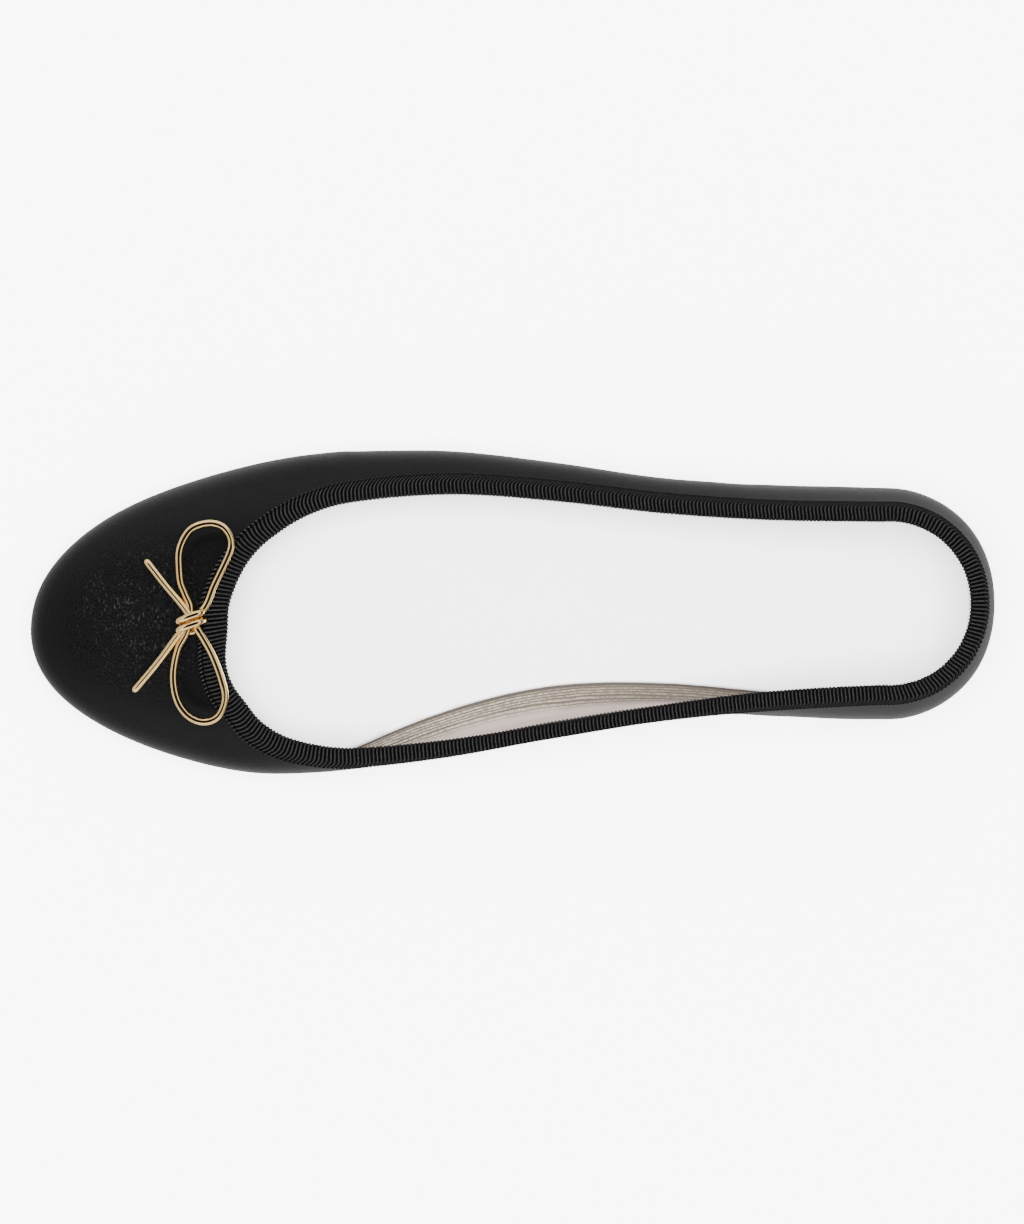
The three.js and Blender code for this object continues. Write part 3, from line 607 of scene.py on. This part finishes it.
def plate_from(node, name, spread_out):
    """A smooth copy of a flat CAD node, with its sharp edges kept and nothing under the floor."""
    mesh = copy_of(node)
    bmesh.ops.join_triangles(
        mesh, faces=mesh.faces, angle_face_threshold=SHARP, angle_shape_threshold=math.pi
    )
    crease = mesh.edges.layers.float.new("crease_edge")
    for edge in mesh.edges:
        if edge.calc_face_angle(0) > SHARP:
            edge[crease] = 1
    for vert in mesh.verts:
        beyond = max(vert.co.x - ball_x, 0) + min(vert.co.x - heel_x, 0)
        away = Vector((beyond, vert.co.y - MIDDLE_Y, 0))
        if any(edge[crease] for edge in vert.link_edges):
            vert.co += away.normalized() * spread_out
    piece = piece_from(mesh, name)
    smooth_through(piece)
    for vert in piece.data.vertices:
        vert.co.z = max(vert.co.z, 0)
    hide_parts(node)
    return piece


sock = plate_from("insole", "sock_insole", SOCK_SPREAD)

tree, shader = new_material("white_sock", sock)
place = add_node(tree, "TexCoord", {}).outputs["Object"]
colour = between(tree, noise(tree, place, 14, 3), SOCK_DARK, SOCK_LIGHT)
tree.links.new(colour, shader.inputs["Base Color"])
add_bump(tree, shader, grain_height(tree, place, 1500), 0.25, 0.05 * MM)
shader.inputs["Roughness"].default_value = 0.55

# The outsole and the heel block: thin moulded rubber with a fine matt texture, glued under the upper.
# The edge is trimmed square with a small bevel, and the block draws in towards the floor.
SOLE_BLACK = (0.004, 0.0037, 0.0037)
HEEL_BLACK = (0.0036, 0.0034, 0.0034)
DUSTY = 1.6  # how much lighter the rubber is where it is dusty
outsole = plate_from("outsole", "rubber_outsole", 0)
heel = plate_from("heel", "rubber_heel", 0)


def rubber(name, piece, colour):
    """Matt black rubber with a fine pebbled face."""
    tree, shader = new_material(name, piece)
    place = add_node(tree, "TexCoord", {}).outputs["Object"]
    pebbles = add_node(tree, "TexVoronoi", {"Vector": place, "Scale": 1400}).outputs["Distance"]
    dust = noise(tree, place, 60, 4)
    lighter = tuple(channel * DUSTY for channel in colour)
    tree.links.new(between(tree, dust, (*colour, 1), (*lighter, 1)), shader.inputs["Base Color"])
    tree.links.new(spread(tree, dust, 0.3, 0.7, 0.6, 0.75), shader.inputs["Roughness"])
    add_bump(tree, shader, pebbles, 0.4, 0.1 * MM)
    shader.inputs["Specular IOR Level"].default_value = 0.15


rubber("sole_rubber_black", outsole, SOLE_BLACK)
rubber("heel_rubber_black", heel, HEEL_BLACK)

# The bow: one length of gold-plated brass wire, bent into two loops and two tails that cross at the knot.
# It lies on the vamp, and the loops' rear strands rest on the ribbon.
KNOT = (81.4 * MM, 2.5 * MM)
KNOT_LENGTH = 4 * MM  # the strands lie over the winding within this distance, towards the toe and back
KNOT_WIDTH = 2.6 * MM  # and within this one to either side
WIRE_RADIUS = 0.95 * MM
KNOT_RADIUS = 0.9 * MM
WIRE_STEP = 0.6 * MM
END_STEPS = [0, 0.08, 0.3, 0.7, 1.2]  # the places of the points in a wire's rounded end, in steps
TIP = 0.05  # the radius that is left at the tip, as a share
BEND_SAMPLES = 60  # from one bend to the next
STRAND_LIFT = 0.4 * MM
LIFTS = [(0.09, 1), (0.91, 1.5)]  # how far along the wire a tail passes over a loop, and the lifts there
LIFT_REACH = 0.05
SETTLE_STEPS = 400
ABOVE_SHOE = 200 * MM
LOWEST_VAMP = 15 * MM

# The wire's bends from above, in millimetres from the knot: towards the toe, and towards the inner side.
BENDS = [
    (11.75, -15.7), (7.1, -9.8), (1.7, -3.3), (-2.0, 2.5), (-4.7, 7.2), (-6.4, 11.1), (-7.7, 14.9),
    (-8.5, 18.4), (-8.1, 21.4), (-6.6, 24.1), (-4.3, 25.3), (-1.6, 25.2), (1.1, 23.7), (3.2, 21.0),
    (4.3, 17.9), (4.7, 14.1), (4.3, 10.3), (3.2, 6.3), (1.2, 2.5), (0.3, -3.3), (1.6, -6.9),
    (2.8, -10), (3.2, -13.8), (3.2, -17.6), (2.2, -20.7), (0.3, -23.4), (-2.4, -24.7), (-5.5, -25),
    (-8.1, -24), (-9.8, -21.6), (-10.1, -19.1), (-9.1, -16.1), (-5.8, -9.2), (-3.2, -3.3), (2.7, 2.5),
    (8.4, 10), (15, 17.8),
]


def even_path(points, step):
    """Points evenly spaced along a smooth open curve through others, with closer ones at its ends."""
    ends = np.vstack([2 * points[0] - points[1], points, 2 * points[-1] - points[-2]])
    fine = on_curve(ends, np.linspace(1, len(points), BEND_SAMPLES * len(points))[:-1])
    lengths = np.concatenate([[0], np.cumsum(np.linalg.norm(np.diff(fine, axis=0), axis=1))])
    close = np.array(END_STEPS) * step
    inner_part = np.linspace(2 * step, lengths[-1] - 2 * step, round(lengths[-1] / step))
    wanted = np.concatenate([close, inner_part, lengths[-1] - close[::-1]])
    axes = [np.interp(wanted, lengths, fine[:, axis]) for axis in range(points.shape[1])]
    return np.stack(axes, axis=1), wanted


surfaces = [
    BVHTree.FromObject(piece, bpy.context.evaluated_depsgraph_get()) for piece in (leather, ribbon)
]


def height_over(x, y, clearance):
    """The height at which something round lies on the vamp or the ribbon, whichever is higher."""
    heights = []
    for surface in surfaces:
        point, normal, _, _ = surface.ray_cast(Vector((x, y, ABOVE_SHOE)), Vector((0, 0, -1)))
        if point is not None and point.z > LOWEST_VAMP:
            heights.append(point.z + clearance / max(normal.z, 0.5))
    return max(heights)


def wire_curve(name, path, lengths, radius):
    """A round wire along a path, with rounded ends."""
    curve = bpy.data.curves.new(name, "CURVE")
    curve.dimensions = "3D"
    curve.bevel_depth = radius
    curve.bevel_resolution = 5
    curve.use_fill_caps = True
    spline = curve.splines.new("POLY")
    spline.points.add(len(path) - 1)
    for point, place, length in zip(spline.points, path, lengths):
        point.co = (*place, 1)
        from_end = min(length, lengths[-1] - length, radius) / radius
        point.radius = max(math.sqrt(1 - (1 - from_end) ** 2), TIP)
    drawn = bpy.data.objects.new(name, curve)
    tube = bpy.data.meshes.new_from_object(drawn)
    bpy.data.objects.remove(drawn)
    piece = bpy.data.objects.new(name, tube)
    bpy.context.scene.collection.objects.link(piece)
    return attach(piece, "root")


def highest_near(values, each_side):
    """The highest of each value and its neighbours."""
    padded = np.pad(values, each_side, mode="edge")
    return np.max([padded[step : step + len(values)] for step in range(2 * each_side + 1)], axis=0)


def mean_near(values, each_side):
    """The average of each value and its neighbours."""
    count = 2 * each_side + 1
    return np.convolve(np.pad(values, each_side, mode="edge"), np.full(count, 1 / count), mode="valid")


bends, lengths = even_path(np.array(BENDS) * MM, WIRE_STEP)
rests = []
for ahead, aside in bends:
    crosses = abs(aside) < KNOT_WIDTH and abs(ahead) < KNOT_LENGTH
    clearance = WIRE_RADIUS + 2 * KNOT_RADIUS if crosses else WIRE_RADIUS
    rests.append(height_over(KNOT[0] + ahead, KNOT[1] + aside, clearance))
rests = mean_near(highest_near(rests, 2), 3)
for place, lift in LIFTS:
    rests += STRAND_LIFT * lift * np.exp(-(((lengths / lengths[-1] - place) / LIFT_REACH) ** 2))
heights = rests.copy()
for _ in range(SETTLE_STEPS):
    heights[1:-1] = np.maximum(rests[1:-1], (heights[:-2] + heights[2:]) / 2)
path = np.column_stack([KNOT[0] + bends[:, 0], KNOT[1] + bends[:, 1], heights])
bow = wire_curve("bow_wire", path, lengths, WIRE_RADIUS)
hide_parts("bow")

# The knot's winding: the same wire wound tightly twice round the crossing strands.
# It slants, so that each turn's toe end lies nearer the inner side. One of its ends stops at the heel
# side, and the other underneath.
WIND_SPREAD = 1.4 * MM
WIND_FLATNESS = 1.6  # how soon the winding reaches its full length either side of the strands' middle
WIND_PITCH = 2.3 * MM
WIND_SLANT = math.radians(15)
WIND_TURNS = range(5, 640, 10)  # in degrees from the heel side, over the top
WIND_GAP = 0.05 * MM
WIND_STEP = 0.4 * MM
UNDER_WIDTH = 2.5 * MM
DEPTH_SHARE = 0.7  # of how far apart the strands lie in height, the part that the winding takes in
TILT_REACH = 3 * MM
under = heights[(np.abs(bends[:, 1]) < UNDER_WIDTH) & (np.abs(bends[:, 0]) < KNOT_LENGTH)]
knot_height = (under.max() + under.min()) / 2
knot_depth = (under.max() - under.min()) / 2
turns = np.radians(WIND_TURNS)
reach = WIRE_RADIUS + KNOT_RADIUS + WIND_GAP
flattened = np.clip(WIND_FLATNESS * np.cos(turns), -1, 1)
sideways = -(flattened * WIND_SPREAD + reach * np.cos(turns))
upward = (reach + DEPTH_SHARE * knot_depth) * np.sin(turns)
along = (np.degrees(turns) - 270) / 360 * WIND_PITCH + sideways * math.tan(WIND_SLANT)
heel_side = height_over(KNOT[0] - TILT_REACH, KNOT[1], 0)
toe_side = height_over(KNOT[0] + TILT_REACH, KNOT[1], 0)
tilt = math.atan2(heel_side - toe_side, 2 * TILT_REACH)
winding = np.column_stack(
    [
        KNOT[0] + sideways * math.cos(tilt) + upward * math.sin(tilt),
        KNOT[1] + along,
        knot_height - sideways * math.sin(tilt) + upward * math.cos(tilt),
    ]
)
path, lengths = even_path(winding, WIND_STEP)
knot = wire_curve("knot_winding", path, lengths, KNOT_RADIUS)
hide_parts("bow_wrap")

GOLD_DARK = (0.84, 0.56, 0.23, 1)
GOLD_LIGHT = (0.92, 0.65, 0.3, 1)


def gold(name, pieces):
    """Polished light gold plating with faint drawing marks."""
    tree, shader = new_material(name, pieces[0])
    for piece in pieces[1:]:
        piece.data.materials.append(pieces[0].data.materials[0])
    place = add_node(tree, "TexCoord", {}).outputs["Object"]
    tone = noise(tree, place, 220, 3)
    tree.links.new(between(tree, tone, GOLD_DARK, GOLD_LIGHT), shader.inputs["Base Color"])
    tree.links.new(spread(tree, tone, 0.3, 0.7, 0.09, 0.14), shader.inputs["Roughness"])
    shader.inputs["Metallic"].default_value = 1


gold("light_gold", [bow, knot])

# The floor, the lights and the camera: a pale studio floor, lit softly from all sides and seen from
# straight above.
FLOOR_SIZE = 6
FLOOR_TONE = 0.9
FLOOR_MIRRORED = 0.22  # its tone in what the shoe's shiny parts reflect
FLOOR_GLOW = 3.8
WHITE = (1, 1, 1, 1)
mesh = bmesh.new()
bmesh.ops.create_grid(mesh, x_segments=1, y_segments=1, size=FLOOR_SIZE / 2)
data = bpy.data.meshes.new("floor")
mesh.to_mesh(data)
mesh.free()
floor = bpy.data.objects.new("floor", data)
bpy.context.scene.collection.objects.link(floor)


def by_ray(tree, kind, others, these):
    """One value for a kind of ray, and another for all the others."""
    ray = add_node(tree, "LightPath", {}).outputs["Is " + kind + " Ray"]
    return spread(tree, ray, 0, 1, others, these)


tree, shader = new_material("pale_floor", floor)
tree.links.new(by_ray(tree, "Glossy", FLOOR_TONE, FLOOR_MIRRORED), shader.inputs["Base Color"])
tree.links.new(by_ray(tree, "Camera", 0, FLOOR_GLOW), shader.inputs["Emission Strength"])
shader.inputs["Emission Color"].default_value = WHITE
shader.inputs["Roughness"].default_value = 0.9
shader.inputs["Specular IOR Level"].default_value = 0.1


def add_light(name, place, size, power, shines=True):
    """A soft rectangular light that faces the shoe, in metres and watts."""
    light = bpy.data.lights.new(name, "AREA")
    light.shape = "RECTANGLE"
    light.size, light.size_y = size
    light.energy = power
    lamp = bpy.data.objects.new(name, light)
    lamp.location = place
    lamp.rotation_euler = (-Vector(place)).to_track_quat("-Z", "Y").to_euler()
    lamp.visible_glossy = shines
    bpy.context.scene.collection.objects.link(lamp)


add_light("above", (0, 0, 2.6), (1.3, 1.3), 330, shines=False)
add_light("outer_side", (0, -1.6, 0.4), (2, 0.5), 8)
add_light("inner_side", (0, 1.6, 0.4), (2, 0.5), 8)
add_light("toe_end", (1.6, 0, 0.9), (1.6, 0.6), 4)

# What the shiny parts reflect: a dark patch over the shoe, a bright ring round it and dim walls.
DARK_PATCH = (0.15, 0, 0)  # a little off to the toe
PATCH_SHAPE = (0.85, 1, 0)  # a little longer than wide
PATCH_RADIUS = 0.5
PATCH_END = 0.62
PATCH_GLOW = 0.01
WALL_GLOW = 0.22
RING_RADIUS = 0.8
RING_FULL = 0.04  # half the width of its bright part
RING_END = 0.14  # and of the whole ring
RING_GLOW = 1.9
WALLS_HIGH = 0.4  # below this height the walls grow dimmer
WALLS_LOW = 0.05  # down to this one
LOW_SHARE = 0.3  # where this share of their glow is left
SOFT_GLOW = 1.2  # the even light on everything that isn't shiny
BACKDROP_GLOW = 6
world = bpy.data.worlds.new("studio")
world.use_nodes = True
tree = world.node_tree
direction = add_node(tree, "TexCoord", {}).outputs["Generated"]
upwards = add_node(tree, "SeparateXYZ", {0: direction}).outputs["Z"]
from_dark = add_node(tree, "VectorMath", {0: direction, 1: DARK_PATCH}, operation="SUBTRACT")
level = add_node(tree, "VectorMath", {0: from_dark.outputs[0], 1: PATCH_SHAPE}, operation="MULTIPLY")
off_dark = add_node(tree, "VectorMath", {0: level.outputs[0]}, operation="LENGTH").outputs["Value"]
off_ring = maths(tree, "ABSOLUTE", maths(tree, "SUBTRACT", off_dark, RING_RADIUS))
glow = spread(tree, off_dark, PATCH_RADIUS, PATCH_END, PATCH_GLOW, WALL_GLOW)
walls = maths(tree, "ADD", glow, spread(tree, off_ring, RING_FULL, RING_END, RING_GLOW, 0))
walls = maths(tree, "MULTIPLY", walls, spread(tree, upwards, WALLS_LOW, WALLS_HIGH, LOW_SHARE, 1))
shine = maths(tree, "MULTIPLY", by_ray(tree, "Glossy", 0, 1), walls)
soft = maths(tree, "ADD", shine, by_ray(tree, "Glossy", SOFT_GLOW, 0))
bright = maths(tree, "ADD", soft, by_ray(tree, "Camera", 0, BACKDROP_GLOW))
tree.links.new(bright, tree.nodes["Background"].inputs["Strength"])
tree.nodes["Background"].inputs["Color"].default_value = WHITE
bpy.context.scene.world = world

FRAME_WIDTH = 262 * MM
SHOW_WIDTH = 1024
SHOW_HEIGHT = 1224
LENS = 600
SENSOR_WIDTH = 36
lens = bpy.data.cameras.new("above_camera")
lens.lens = LENS
lens.sensor_width = SENSOR_WIDTH
camera = bpy.data.objects.new("above_camera", lens)
distance = FRAME_WIDTH * LENS / (SENSOR_WIDTH * SHOW_WIDTH / SHOW_HEIGHT)
camera.location = (0, 0, distance)
camera.rotation_euler = (0, 0, math.pi)
bpy.context.scene.collection.objects.link(camera)
bpy.context.scene.camera = camera
